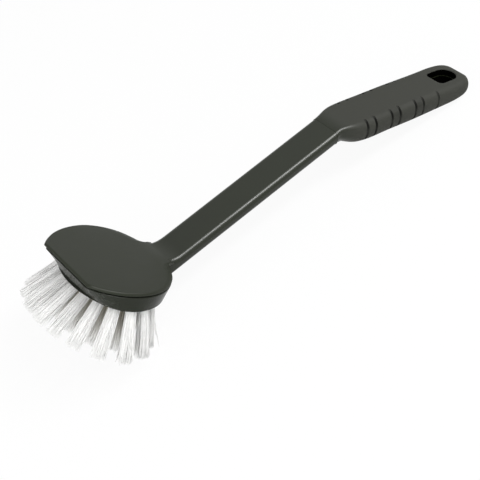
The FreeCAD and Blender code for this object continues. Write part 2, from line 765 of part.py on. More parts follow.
def inner_spots():
    """A straight row across the middle of the foot that fans out slightly."""
    middle = value_of(
        f"({FOOT_REAR} - Sizes.row_rear_edge + Sizes.foot_set_back + Sizes.row_edge) / 2"
    )
    spots = []
    for i in range(INNER_COUNT):
        step = i - (INNER_COUNT - 1) / 2
        spot = Vector(middle, step * size("inner_pitch"), 0)
        spots.append((spot, Vector(0, 1, 0), step * size("inner_fan")))
    return spots


def tuft_placement(spot, outward, lean):
    """Frame of one tuft: origin on the block's foot, Z along the tuft, X along the row."""
    angle = math.radians(lean)
    along = outward * math.sin(angle) - Vector(0, 0, math.cos(angle))
    row = Vector(-outward.y, outward.x, 0)
    side = along.cross(row)
    turn = Rotation(row, side, along, "ZXY")
    return Placement(spot - Vector(0, 0, size("block_height")), turn)


def primitive(kind, name, frame, shift, **lengths):
    """A Part primitive in a tuft's frame, its lengths bound to the sheet."""
    item = doc.addObject(kind, name)
    for prop, expression in lengths.items():
        item.setExpression(prop, expression)
    item.Placement = frame * Placement(shift, Rotation())
    placed.append(item)
    return item


def wire_box(name, frame, clearance):
    """The flat anchor wire across the foot of a tuft, or the slot round it."""
    spare = value_of(clearance)
    length = value_of("Sizes.tuft_hole") / 2 + size("wire_bite") + spare
    foot = size("wire_floor") - size("tuft_hole_depth") - spare
    shift = Vector(-length, -size("wire_thickness") / 2 - spare, foot)
    return primitive(
        "Part::Box",
        name,
        frame,
        shift,
        Length=f"Sizes.tuft_hole + 2 * Sizes.wire_bite + 2 * {clearance}",
        Width=f"Sizes.wire_thickness + 2 * {clearance}",
        Height=f"Sizes.wire_height + 2 * {clearance}",
    )


def boolean(kind, name, base, tool):
    """Fuse or cut one shape with another."""
    item = doc.addObject(kind, name)
    item.Base = base
    item.Tool = tool
    return item


def make_tuft(name, frame):
    """One tuft: a straight collar in and below its hole, then a flare to the cut tip."""
    radius = "Sizes.tuft_hole / 2 - Sizes.tuft_clearance"
    stem = primitive(
        "Part::Cylinder",
        name + "_stem",
        frame,
        Vector(0, 0, -size("tuft_hole_depth")),
        Radius=radius,
        Height="Sizes.tuft_hole_depth + Sizes.tuft_collar",
    )
    flare = primitive(
        "Part::Cone",
        name + "_flare",
        frame,
        Vector(0, 0, size("tuft_collar")),
        Radius1=radius,
        Radius2="Sizes.tuft_tip / 2",
        Height="Sizes.tuft_length - Sizes.tuft_collar",
    )
    bundle = boolean("Part::Fuse", name + "_bundle", stem, flare)
    slot = wire_box(name + "_fold", frame, "Sizes.tuft_clearance")
    return boolean("Part::Cut", name, bundle, slot)


def make_hole(name, frame):
    """The round hole in the block that one tuft stands in."""
    return primitive(
        "Part::Cylinder",
        name + "_hole",
        frame,
        Vector(0, 0, -size("tuft_hole_depth") - size("tuft_clearance")),
        Radius="Sizes.tuft_hole / 2",
        Height=f"Sizes.tuft_hole_depth + Sizes.tuft_clearance + {HOLE_OVERRUN}",
    )


def compound(name, items):
    """Several shapes kept as one."""
    group = doc.addObject("Part::Compound", name)
    group.Links = items
    return group


def surface_points(item):
    """Points on the surface of a node, close enough together to find how it rests."""
    return item.Shape.tessellate(MESH_STEP)[0]


def rest_placement(nodes):
    """How the brush lies on a table: turned until its bristle tips and its grip end are level,
    then moved so that the origin is under the middle of its box."""
    bristle = [p for n in nodes if n.Label.startswith("tuft") for p in surface_points(n)]
    grip = [p for n in nodes if n.Label == "grip_sleeve" for p in surface_points(n)]
    low, high = 0.0, STEEPEST_TURN
    while high - low > TURN_STEP:
        angle = (low + high) / 2
        turn = Rotation(Vector(0, 1, 0), angle)
        if min(turn.multVec(p).z for p in grip) > min(turn.multVec(p).z for p in bristle):
            low = angle
        else:
            high = angle
    turn = Rotation(Vector(0, 1, 0), low)
    turned = [turn.multVec(p) for n in nodes for p in surface_points(n)]
    xs = [p.x for p in turned]
    ys = [p.y for p in turned]
    floor = min(p.z for p in turned)
    return Placement(Vector(-(min(xs) + max(xs)) / 2, -(min(ys) + max(ys)) / 2, -floor), turn)


fill_sheet()
placed = []
handle = make_handle()
grip_blank = make_grip()
grip_turn = Rotation(Vector(0, -1, 0), size("grip_angle"))
grip_blank.Placement = Placement(Vector(value_of(SLEEVE_X), 0, value_of(SLEEVE_Z)), grip_turn)
block_blank = make_block()
placed += [handle, grip_blank, block_blank]
sleeve = boolean("Part::Cut", "grip_sleeve", grip_blank, handle)

rows = {
    "tuft_outer": ring_spots(OUTER_COUNT, 0.0, 1.0),
    "tuft_middle": ring_spots(MIDDLE_COUNT, size("row_step"), MIDDLE_LEAN_SHARE),
    "tuft_inner": inner_spots(),
}
tufts = []
holes = []
wires = []
slots = []
for row, spots in rows.items():
    for number, spot in enumerate(spots, start=1):
        name = f"{row}_{number:02d}"
        frame = tuft_placement(*spot)
        tufts.append(make_tuft(name, frame))
        holes.append(make_hole(name, frame))
        wires.append(wire_box(name + "_wire", frame, "0"))
        slots.append(wire_box(name + "_slot", frame, "Sizes.tuft_clearance"))
drilled = boolean("Part::Cut", "block_drilled", block_blank, compound("holes", holes))
block = boolean("Part::Cut", "bristle_block", drilled, compound("wire_slots", slots))
anchors = compound("anchor_wires", wires)
doc.recompute()

nodes = [handle, sleeve, block, *tufts, anchors]
rest = rest_placement(nodes)
for item in placed:
    item.Placement = rest * item.Placement
doc.recompute()

for item in doc.Objects:
    if "Invalid" in item.State or "Error" in item.State:
        raise RuntimeError(f"{item.Label} failed: {item.State}")
for node in nodes:
    if node.Shape.isNull() or not node.Shape.isValid():
        raise RuntimeError(f"{node.Label} has no valid shape")

os.makedirs("parts", exist_ok=True)
for node in nodes:
    node.Shape.exportStep(f"parts/{node.Label}.step")
box = anchors.Shape.BoundBox
for node in nodes:
    box.add(node.Shape.BoundBox)
print("nodes", len(nodes), "box", box, "rest turn", rest.Rotation.Angle * 180 / math.pi)
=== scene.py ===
import json
import math
import random

import bmesh
import bpy
import numpy as np
from bpy.props import FloatProperty, FloatVectorProperty, IntProperty, PointerProperty
from bpy.types import Operator, Panel, PropertyGroup
from mathutils import Matrix, Vector
from mathutils.bvhtree import BVHTree


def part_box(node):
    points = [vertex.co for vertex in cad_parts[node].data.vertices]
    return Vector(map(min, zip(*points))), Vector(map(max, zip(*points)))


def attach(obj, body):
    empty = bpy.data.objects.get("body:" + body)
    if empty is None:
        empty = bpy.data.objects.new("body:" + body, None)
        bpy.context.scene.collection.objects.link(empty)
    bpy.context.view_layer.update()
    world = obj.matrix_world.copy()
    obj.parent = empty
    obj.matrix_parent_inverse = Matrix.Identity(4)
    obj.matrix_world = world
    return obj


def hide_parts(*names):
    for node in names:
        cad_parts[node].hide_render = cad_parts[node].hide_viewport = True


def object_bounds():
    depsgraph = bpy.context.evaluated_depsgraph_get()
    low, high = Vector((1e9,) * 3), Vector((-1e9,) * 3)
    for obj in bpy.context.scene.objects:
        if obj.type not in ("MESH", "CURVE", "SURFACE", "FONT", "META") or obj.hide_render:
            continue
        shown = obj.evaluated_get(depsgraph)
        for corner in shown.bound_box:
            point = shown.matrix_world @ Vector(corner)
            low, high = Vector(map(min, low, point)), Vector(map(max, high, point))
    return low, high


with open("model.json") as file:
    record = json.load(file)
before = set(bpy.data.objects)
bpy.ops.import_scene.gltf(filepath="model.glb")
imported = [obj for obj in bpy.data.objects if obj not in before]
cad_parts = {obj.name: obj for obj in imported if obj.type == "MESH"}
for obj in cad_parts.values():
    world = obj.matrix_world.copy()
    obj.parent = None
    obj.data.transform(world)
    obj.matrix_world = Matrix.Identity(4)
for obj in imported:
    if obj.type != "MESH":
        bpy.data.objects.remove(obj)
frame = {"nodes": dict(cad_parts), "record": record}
CAD_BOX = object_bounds()

bl_info = {
    "name": "Dish Brush",
    "version": (1, 0, 0),
    "blender": (4, 5, 0),
    "location": "3D View > Sidebar > Brush",
    "description": "Finishes a dish brush: handle, grip, bristle block and filament tufts",
    "category": "Object",
}

BODY = "root"
TUFTS = sorted(name for name in frame["nodes"] if name.startswith("tuft_"))
HOLE = next(mount for mount in frame["record"]["mounts"] if mount["name"] == "hanging_hole")

# Along X: the rear of the bristle block, where the neck leaves the cap, and the grip's front edge.
NECK_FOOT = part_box("bristle_block")[1][0]
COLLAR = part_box("grip_sleeve")[0][0]

# Along X: where the satin of the cap passes into the polish of the neck, and the polish into the
# matte of the grip. Handle and grip share the polish: its roughness and the weight of its coat.
CAP_TO_NECK = (NECK_FOOT - 0.004, NECK_FOOT + 0.012)
NECK_TO_GRIP = (COLLAR + 0.002, COLLAR + 0.016)
NECK_GLOSS = 0.34
NECK_COAT = 0.4

# The photograph's camera, found from the brush's own edges.
CAMERA_PLACE = (-0.22892, -0.37581, 0.45566)
CAMERA_TURN = (42.264, 9.751, -39.006)
CAMERA_LENS = 84.12
CAMERA_SENSOR = 36.0

# Where each lamp stands, the way its long side lies, its width and height, and its watts. All are
# aimed at one point. The edge lamp is only seen mirrored in polished edges.
LAMPS = {
    "key": ((0.46, -0.36, 0.92), (1, 0, 0), (1.0, 0.2), 7.8),
    "edge": ((0.48, -0.38, 0.96), (1, 0, 0), (1.0, 0.45), 18.0),
    "fill": ((-0.98, -0.42, 0.42), (0, 0, 1), (0.6, 0.8), 6.6),
}
LAMP_TARGET = (0.0, 0.0, 0.03)
MIRRORED_LAMP = "edge"

# Brightness of the surroundings at the horizon, overhead, and as cameras and mirrors see them.
HORIZON_LEVEL = 0.3
OVERHEAD_LEVEL = 0.5
SEEN_LEVEL = 0.98

# The floor: its width, how far it lies under the brush, and how much of it is seen as plain white.
FLOOR_SIZE = 8.0
FLOOR_DROP = 0.00005
FLOOR_GLOW = 0.93

# Painted shade in hollows: rays that look for facing walls: how many, the height of the lowest,
# the spread of their heights, and how far off the surface they start.
HOLLOW_RAYS = 18
LOWEST_RAY = 0.1
RAY_SPREAD = 0.85
RAY_LIFT = 0.00002

# A face is part of the hole's wall, which gets the painted shade, where its normal leans less than
# this along the hole's axis.
WALL_LIMIT = 0.5

# Points of a solid's triangles that are nearer than this are one point.
MERGE_REACH = 0.000001

# A tuft's axis: the depth of its flat ends, and how often it is found again from them.
END_DEPTH = 0.0002
AXIS_PASSES = 3

# One filament: its sides, its steps, and the share of its width left at the tip.
STRAND_SIDES = 6
STRAND_STEPS = 6
TIP_TAPER = 0.55

# Filaments are packed in a spiral, begin part of the way down the hole and flare late. The longest
# ones stand out less than the shortest ones fall back.
GOLDEN_ANGLE = math.pi * (3 - math.sqrt(5))
SPIRAL_SHIFT = 0.2
START_SHARE = 0.5
FLARE_POWER = 1.3
LONG_SHARE = 0.35
STRAND_TONES = (0.95, 1.03)

# Tips gather in locks, a few strays wander further than the rest, and each filament is bowed.
LOCK_COUNT = 5
LOCK_SHIFT = 0.3
LOCK_REACH = (0.5, 0.9)
GATHER = 0.22
STRAY_SHARE = 0.05
STRAY_WANDER = 0.0017
WANDER = 0.0004
BOW = 0.0003

# Painted shade on the filaments: how light a filament is painted at its root, and what it gains to
# its tip. The outer row is well lit; the inner rows are painted in shade for most of their length.
OUTER_PAINTED_LIGHT = (0.5, 0.5)
INNER_PAINTED_LIGHT = (0.0, 0.56)

# Filaments stay this far inside the box of the solids.
BOX_INSET = 0.0001


class BrushSizes(PropertyGroup):
    """Sizes of what the solids don't hold."""

    strand_width: FloatProperty(
        name="Strand width",
        description="Thickness of one bristle filament",
        default=0.0005,
        unit="LENGTH",
    )
    strand_count: IntProperty(
        name="Strands per tuft",
        description="Filaments standing in one hole of the block",
        default=160,
    )
    hole_depth: FloatProperty(
        name="Hole depth",
        description="How deep a tuft sits in the block",
        default=0.0064,
        unit="LENGTH",
    )
    root_radius: FloatProperty(
        name="Root radius",
        description="Radius of the bundle where it leaves the block",
        default=0.0026,
        unit="LENGTH",
    )
    tip_radius: FloatProperty(
        name="Tip radius",
        description="Radius of the bundle at its cut tips",
        default=0.0036,
        unit="LENGTH",
    )
    uneven_tips: FloatProperty(
        name="Uneven tips",
        description="How much the filaments differ in length, as a share of it",
        default=0.04,
        subtype="FACTOR",
    )
    # Reach of the painted shade on the hanging hole's wall.
    hole_reach: FloatProperty(
        name="Hole reach",
        description="Distance from the middle of the hanging hole that takes in its whole wall",
        default=0.0105,
        unit="LENGTH",
    )
    # The painted shade in grooves and hollows looks this far for facing walls.
    hollow_reach: FloatProperty(
        name="Hollow reach",
        description="How near a facing wall has to be to darken a groove",
        default=0.0022,
        unit="LENGTH",
    )


class BrushColours(PropertyGroup):
    """Colours of the finishes."""

    cap: FloatVectorProperty(
        name="Cap",
        description="Hard plastic of the head cap, satin",
        default=(0.0228, 0.026, 0.0174),
        subtype="COLOR",
    )
    neck: FloatVectorProperty(
        name="Neck",
        description="Hard plastic of the neck, polished",
        default=(0.011, 0.014, 0.0064),
        subtype="COLOR",
    )
    block: FloatVectorProperty(
        name="Block",
        description="Hard plastic of the bristle block",
        default=(0.015, 0.0178, 0.0112),
        subtype="COLOR",
    )
    grip: FloatVectorProperty(
        name="Grip",
        description="Soft matte rubber of the grip",
        default=(0.0388, 0.0402, 0.0332),
        subtype="COLOR",
    )
    # Painted shade: the hanging hole's wall, the same plastic as around it, is made near black
    # because it lies in shadow.
    hole: FloatVectorProperty(
        name="Hole wall",
        description="Wall of the hanging hole",
        default=(0.0015, 0.0015, 0.0013),
        subtype="COLOR",
    )
    strand: FloatVectorProperty(
        name="Bristles",
        description="White filament",
        default=(0.9, 0.9, 0.89),
        subtype="COLOR",
    )
    # Painted shade with a painted warm bounce from the block: the filaments darken to this colour
    # towards their roots, where they lie in shadow.
    strand_root_shade: FloatVectorProperty(
        name="Bristle roots",
        description="Filament near the block, where it takes on some of the block's colour",
        default=(0.42, 0.40, 0.33),
        subtype="COLOR",
    )
    wire: FloatVectorProperty(
        name="Wire",
        description="Flat steel wire at the foot of each tuft",
        default=(0.62, 0.61, 0.58),
        subtype="COLOR",
    )
    floor: FloatVectorProperty(
        name="Floor",
        description="Pale studio floor",
        default=(0.9, 0.9, 0.9),
        subtype="COLOR",
    )


def sizes():
    return bpy.context.scene.brush_sizes


def colours():
    return bpy.context.scene.brush_colours


def pick(*objects):
    """Leave object mode and select only these objects."""
    if bpy.context.object and bpy.context.object.mode != "OBJECT":
        bpy.ops.object.mode_set(mode="OBJECT")
    bpy.ops.object.select_all(action="DESELECT")
    for item in objects:
        item.select_set(True)
    bpy.context.view_layer.objects.active = objects[0] if objects else None


def add_node(tree, kind, place=(0, 0), **inputs):
    """A node at a place, with its sockets set by name, spaces written as underscores."""
    item = tree.nodes.new(kind)
    item.location = place
    for name, value in inputs.items():
        item.inputs[name.replace("_", " ")].default_value = value
    return item


def new_group(name, inputs, outputs):
    """An empty shader group with float inputs and the given outputs."""
    group = bpy.data.node_groups.new(name, "ShaderNodeTree")
    group.interface.new_socket("Vector", in_out="INPUT", socket_type="NodeSocketVector")
    for label, value in inputs:
        socket = group.interface.new_socket(label, in_out="INPUT", socket_type="NodeSocketFloat")
        socket.default_value = value
    for label, kind in outputs:
        group.interface.new_socket(label, in_out="OUTPUT", socket_type=kind)
    start = add_node(group, "NodeGroupInput", (-900, 0))
    end = add_node(group, "NodeGroupOutput", (700, 0))
    return group, start, end


def feed(tree, source, socket):
    """Link a source to a socket, or set the socket where the source is a plain value."""
    if isinstance(source, bpy.types.NodeSocket):
        tree.links.new(source, socket)
    else:
        socket.default_value = source


def reckon(tree, operation, place, *sources):
    """The result of a Math node that is fed from sockets or plain values."""
    item = add_node(tree, "ShaderNodeMath", place)
    item.operation = operation
    for source, socket in zip(sources, item.inputs):
        feed(tree, source, socket)
    return item.outputs[0]


def spread(tree, source, low, high, place):
    """Map a value from the middle of a noise to a range."""
    item = add_node(
        tree, "ShaderNodeMapRange", place, From_Min=0.3, From_Max=0.7, To_Min=low, To_Max=high
    )
    tree.links.new(source, item.inputs["Value"])
    return item.outputs["Result"]


def moulded_grain_group():
    """Fine spark-eroded grain with slow changes of tone, as on moulded plastic and rubber."""
    name = "moulded_grain"
    if name in bpy.data.node_groups:
        return bpy.data.node_groups[name]
    group, start, end = new_group(
        name,
        [("Grain Scale", 2400.0), ("Mottle Scale", 55.0), ("Tone Spread", 0.3)],
        [
            ("Height", "NodeSocketFloat"),
            ("Tone", "NodeSocketFloat"),
            ("Mottle", "NodeSocketFloat"),
        ],
    )
    links = group.links
    grain = add_node(group, "ShaderNodeTexNoise", (-600, 200), Detail=3.0, Roughness=0.6)
    pits = add_node(group, "ShaderNodeTexVoronoi", (-600, -60))
    pits.feature = "SMOOTH_F1"
    pits.inputs["Smoothness"].default_value = 0.6
    mottle = add_node(group, "ShaderNodeTexNoise", (-600, -320), Detail=4.0, Roughness=0.55)
    textures = ((grain, "Grain Scale"), (pits, "Grain Scale"), (mottle, "Mottle Scale"))
    for texture, scale in textures:
        links.new(start.outputs["Vector"], texture.inputs["Vector"])
        links.new(start.outputs[scale], texture.inputs["Scale"])
    height = reckon(
        group, "MULTIPLY_ADD", (-300, 120), pits.outputs["Distance"], 0.5, grain.outputs["Fac"]
    )
    centred = reckon(group, "SUBTRACT", (-300, -160), mottle.outputs["Fac"], 0.5)
    tone = reckon(group, "MULTIPLY_ADD", (0, -160), centred, start.outputs["Tone Spread"], 1.0)
    links.new(height, end.inputs["Height"])
    links.new(tone, end.inputs["Tone"])
    links.new(mottle.outputs["Fac"], end.inputs["Mottle"])
    return group


def blend(tree, mask, first, second, place):
    """Mix two plain colours by a mask."""
    item = add_node(tree, "ShaderNodeMix", place)
    item.data_type = "RGBA"
    item.inputs["A"].default_value = (*first, 1)
    item.inputs["B"].default_value = (*second, 1)
    tree.links.new(mask, item.inputs["Factor"])
    return item.outputs["Result"]


def tinted(tree, colour, tone, place):
    """A colour made lighter or darker by a tone."""
    item = add_node(tree, "ShaderNodeVectorMath", place)
    item.operation = "SCALE"
    feed(tree, colour, item.inputs[0])
    tree.links.new(tone, item.inputs["Scale"])
    return item.outputs["Vector"]


def passing(tree, mask, pair, place):
    """A value that passes from the first to the second by a mask."""
    item = add_node(tree, "ShaderNodeMix", place)
    item.inputs["A"].default_value, item.inputs["B"].default_value = pair
    tree.links.new(mask, item.inputs["Factor"])
    return item.outputs["Result"]


def along_brush(tree, where, change):
    """A mask that rises from 0 to 1 between two places along the brush."""
    parts = add_node(tree, "ShaderNodeSeparateXYZ", (-1200, 300))
    tree.links.new(where, parts.inputs["Vector"])
    mask = add_node(
        tree, "ShaderNodeMapRange", (-1000, 300), From_Min=change[0], From_Max=change[1]
    )
    mask.interpolation_type = "SMOOTHSTEP"
    tree.links.new(parts.outputs["X"], mask.inputs["Value"])
    return mask.outputs["Result"]


def moulded_material(name, colour, gloss, grain, bump, specular, coat=None, change=None):
    """Moulded plastic or rubber with a fine grain and painted shade in its hollows. With a change,
    which is two places along the brush, the colour, the gloss and the weight of a polished coat
    are pairs that pass from the first to the second between them."""
    material = bpy.data.materials.new(name)
    material.use_nodes = True
    tree = material.node_tree
    links = tree.links
    shader = tree.nodes["Principled BSDF"]
    where = add_node(tree, "ShaderNodeTexCoord", (-1500, 0))
    surface = add_node(tree, "ShaderNodeGroup", (-1200, 0))
    surface.node_tree = moulded_grain_group()
    surface.inputs["Grain Scale"].default_value = grain
    links.new(where.outputs["Object"], surface.inputs["Vector"])
    if change:
        mask = along_brush(tree, where.outputs["Object"], change)
        colour = blend(tree, mask, *colour, (-750, 300))
        gloss = passing(tree, mask, gloss, (-750, 0))
        links.new(passing(tree, mask, coat, (-750, -500)), shader.inputs["Coat Weight"])
        shader.inputs["Coat Roughness"].default_value = 0.32
    # Painted shade: points with little open space around them are darkened, down to 0.15 of the
    # colour.
    hollow = add_node(tree, "ShaderNodeAttribute", (-1200, 560))
    hollow.attribute_name = "openness"
    shade = add_node(
        tree, "ShaderNodeMapRange", (-1000, 560), From_Min=0.45, From_Max=0.95, To_Min=0.15
    )
    links.new(hollow.outputs["Fac"], shade.inputs["Value"])
    tone = reckon(tree, "MULTIPLY", (-750, 500), shade.outputs["Result"], surface.outputs["Tone"])
    links.new(tinted(tree, colour, tone, (-500, 200)), shader.inputs["Base Color"])
    uneven = spread(tree, surface.outputs["Mottle"], 0.92, 1.08, (-750, -200))
    links.new(reckon(tree, "MULTIPLY", (-500, 0), gloss, uneven), shader.inputs["Roughness"])
    relief = add_node(tree, "ShaderNodeBump", (-500, -340), Strength=bump, Distance=0.0001)
    links.new(surface.outputs["Height"], relief.inputs["Height"])
    links.new(relief.outputs["Normal"], shader.inputs["Normal"])
    shader.inputs["Specular IOR Level"].default_value = specular
    return material


def hole_shade_material():
    """Painted shade for the wall of the hanging hole: a near-black finish."""
    return moulded_material(
        "hole_painted_shade", colours().hole, gloss=0.4, grain=2000.0, bump=0.1, specular=0.0
    )


def strand_material():
    """White filament: each strand has its own tone, and painted shade with a painted warm bounce
    from the block darkens it towards its root.
    """
    material = bpy.data.materials.new("white_filament")
    material.use_nodes = True
    tree = material.node_tree
    links = tree.links
    shader = tree.nodes["Principled BSDF"]
    tone = add_node(tree, "ShaderNodeAttribute", (-1100, 300))
    tone.attribute_name = "strand_tone"
    share = add_node(tree, "ShaderNodeAttribute", (-1100, 100))
    share.attribute_name = "strand_share"
    where = add_node(tree, "ShaderNodeTexCoord", (-1300, -100))
    streak = add_node(tree, "ShaderNodeTexNoise", (-1100, -100), Scale=420.0, Detail=3.0)
    links.new(where.outputs["Object"], streak.inputs["Vector"])
    level = spread(tree, streak.outputs["Fac"], 0.95, 1.03, (-850, -100))
    product = reckon(tree, "MULTIPLY", (-600, 60), tone.outputs["Fac"], level)
    # Painted shade: the painted light along the filament blends from the root shade colour to
    # white.
    rise = add_node(tree, "ShaderNodeMapRange", (-850, 160), From_Min=0.15, From_Max=0.6)
    rise.interpolation_type = "SMOOTHSTEP"
    links.new(share.outputs["Fac"], rise.inputs["Value"])
    colour = blend(
        tree, rise.outputs["Result"], colours().strand_root_shade, colours().strand, (-600, 300)
    )
    links.new(tinted(tree, colour, product, (-300, 200)), shader.inputs["Base Color"])
    links.new(
        spread(tree, streak.outputs["Fac"], 0.38, 0.52, (-600, -260)), shader.inputs["Roughness"]
    )
    shader.inputs["Specular IOR Level"].default_value = 0.4
    return material


def wire_material():
    """Drawn flat steel wire with fine lines along it."""
    material = bpy.data.materials.new("drawn_wire")
    material.use_nodes = True
    tree = material.node_tree
    links = tree.links
    shader = tree.nodes["Principled BSDF"]
    where = add_node(tree, "ShaderNodeTexCoord", (-1100, 0))
    lines = add_node(tree, "ShaderNodeTexNoise", (-850, 0), Scale=5200.0, Detail=2.0)
    links.new(where.outputs["Object"], lines.inputs["Vector"])
    tone = spread(tree, lines.outputs["Fac"], 0.85, 1.1, (-620, 160))
    links.new(tinted(tree, colours().wire, tone, (-400, 160)), shader.inputs["Base Color"])
    links.new(
        spread(tree, lines.outputs["Fac"], 0.25, 0.42, (-620, -120)), shader.inputs["Roughness"]
    )
    shader.inputs["Metallic"].default_value = 1.0
    return material


def mark_hollows(mesh, reach):
    """Give each point the share of the directions above it that are open within a short reach. The
    finishes paint shade where it is low.
    """
    tree = BVHTree.FromPolygons(
        [point.co for point in mesh.vertices], [face.vertices for face in mesh.polygons]
    )
    rays = []
    for i in range(HOLLOW_RAYS):
        height = LOWEST_RAY + RAY_SPREAD * (i + 0.5) / HOLLOW_RAYS
        angle = i * GOLDEN_ANGLE
        flat = math.sqrt(1 - height * height)
        rays.append(Vector((flat * math.cos(angle), flat * math.sin(angle), height)))
    values = []
    for point in mesh.vertices:
        turn = point.normal.to_track_quat("Z", "Y")
        start = point.co + point.normal * RAY_LIFT
        hits = [tree.ray_cast(start, turn @ ray, reach)[0] for ray in rays]
        values.append(hits.count(None) / len(hits))
    layer = mesh.attributes.new("openness", "FLOAT", "POINT")
    layer.data.foreach_set("value", values)


def finished_copy(node, name, material, smooth_angle):
    """A copy of a solid with its triangles joined, its curved faces smooth, its own finish and
    painted shade in its hollows.
    """
    piece = bpy.data.objects.new(name, frame["nodes"][node].data.copy())
    bpy.context.collection.objects.link(piece)
    pick(piece)
    bpy.ops.mesh.customdata_custom_splitnormals_clear()
    bpy.ops.object.mode_set(mode="EDIT")
    bpy.ops.mesh.select_all(action="SELECT")
    bpy.ops.mesh.remove_doubles(threshold=MERGE_REACH)
    bpy.ops.object.mode_set(mode="OBJECT")
    bpy.ops.object.shade_smooth_by_angle(angle=math.radians(smooth_angle))
    even = piece.modifiers.new("flat_faces_stay_flat", "WEIGHTED_NORMAL")
    even.keep_sharp = True
    bpy.ops.object.modifier_apply(modifier=even.name)
    mark_hollows(piece.data, sizes().hollow_reach)
    piece.data.materials.clear()
    piece.data.materials.append(material)
    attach(piece, BODY)
    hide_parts(node)
    return piece


def paint_hole_shade(piece, material):
    """Paint the wall of the hanging hole in shade with its own near-black material."""
    middle = Vector(HOLE["pos_m"])
    axis = Vector(HOLE["axis"]).normalized()
    piece.data.materials.append(material)
    last = len(piece.data.materials) - 1
    for face in piece.data.polygons:
        offset = face.center - middle
        sideways = offset - axis * offset.dot(axis)
        if sideways.length < sizes().hole_reach and abs(face.normal.dot(axis)) < WALL_LIMIT:
            face.material_index = last


class BRUSH_OT_handle(Operator):
    """Finish the hard moulding: head cap, neck and core"""

    bl_idname = "brush.handle"
    bl_label = "Handle"

    def execute(self, context):
        finish = moulded_material(
            "hard_plastic",
            (colours().cap, colours().neck),
            gloss=(0.46, NECK_GLOSS),
            grain=2400.0,
            bump=0.05,
            specular=0.15,
            coat=(0.0, NECK_COAT),
            change=CAP_TO_NECK,
        )
        piece = finished_copy(
            "handle", "handle_moulding", finish, smooth_angle=45
        )
        # Painted shade on the hanging hole's wall.
        paint_hole_shade(piece, hole_shade_material())
        return {"FINISHED"}


class BRUSH_OT_grip(Operator):
    """Finish the soft sleeve of the grip"""

    bl_idname = "brush.grip"
    bl_label = "Grip"

    def execute(self, context):
        finish = moulded_material(
            "soft_rubber",
            (colours().neck, colours().grip),
            gloss=(NECK_GLOSS, 0.68),
            grain=1500.0,
            bump=0.28,
            specular=0.15,
            coat=(NECK_COAT, 0.0),
            change=NECK_TO_GRIP,
        )
        piece = finished_copy(
            "grip_sleeve", "grip_moulding", finish, smooth_angle=40
        )
        # Painted shade on the hanging hole's wall.
        paint_hole_shade(piece, hole_shade_material())
        return {"FINISHED"}


class BRUSH_OT_block(Operator):
    """Finish the bristle block under the cap"""

    bl_idname = "brush.block"
    bl_label = "Bristle block"

    def execute(self, context):
        finish = moulded_material(
            "block_plastic", colours().block, gloss=0.26, grain=2400.0, bump=0.06, specular=0.13
        )
        finished_copy("bristle_block", "block_moulding", finish, smooth_angle=32)
        return {"FINISHED"}


def tuft_axis(node):
    """Foot and tip of a tuft's solid, read from the middles of its two flat ends."""
    count = len(frame["nodes"][node].data.vertices)
    flat = np.empty(count * 3)
    frame["nodes"][node].data.vertices.foreach_get("co", flat)
    points = np.unique(np.round(flat.reshape(-1, 3), 7), axis=0)
    middle = points.mean(axis=0)
    axis = np.linalg.svd(points - middle, full_matrices=False)[2][0]
    for _ in range(AXIS_PASSES):
        along = (points - middle) @ axis
        low = points[along < along.min() + END_DEPTH]
        high = points[along > along.max() - END_DEPTH]
        ends = [end.min(axis=0) / 2 + end.max(axis=0) / 2 for end in (low, high)]
        axis = (ends[1] - ends[0]) / np.linalg.norm(ends[1] - ends[0])
    widths = [np.linalg.norm(e - e.mean(axis=0), axis=1).max() for e in (low, high)]
    if widths[0] > widths[1]:
        ends.reverse()
    return Vector(ends[0]), Vector(ends[1])


def strand_shape():
    """One straight filament of unit length: a ring extruded step by step to its tip."""
    pick()
    bpy.ops.mesh.primitive_circle_add(
        vertices=STRAND_SIDES,
        radius=sizes().strand_width / 2,
        fill_type="NGON",
        location=(0, 0, 0),
    )
    strand = bpy.context.object
    bpy.ops.object.mode_set(mode="EDIT")
    bpy.ops.mesh.select_all(action="SELECT")
    rise = {"value": (0, 0, 1 / STRAND_STEPS)}
    for _ in range(STRAND_STEPS):
        bpy.ops.mesh.extrude_region_move(TRANSFORM_OT_translate=rise)
    bpy.ops.transform.resize(value=(TIP_TAPER, TIP_TAPER, 1.0))
    bpy.ops.mesh.select_all(action="SELECT")
    bpy.ops.mesh.normals_make_consistent(inside=False)
    bpy.ops.object.mode_set(mode="OBJECT")
    points = [v.co.copy() for v in strand.data.vertices]
    faces = [tuple(p.vertices) for p in strand.data.polygons]
    bpy.data.objects.remove(strand)
    return points, faces


def spiral_spots(count, radius, chance):
    """Evenly packed places in a circle, each moved a little."""
    for i in range(count):
        reach = radius * math.sqrt((i + 0.5) / count)
        angle = i * GOLDEN_ANGLE + chance.uniform(-SPIRAL_SHIFT, SPIRAL_SHIFT)
        yield Vector((reach * math.cos(angle), reach * math.sin(angle), 0))


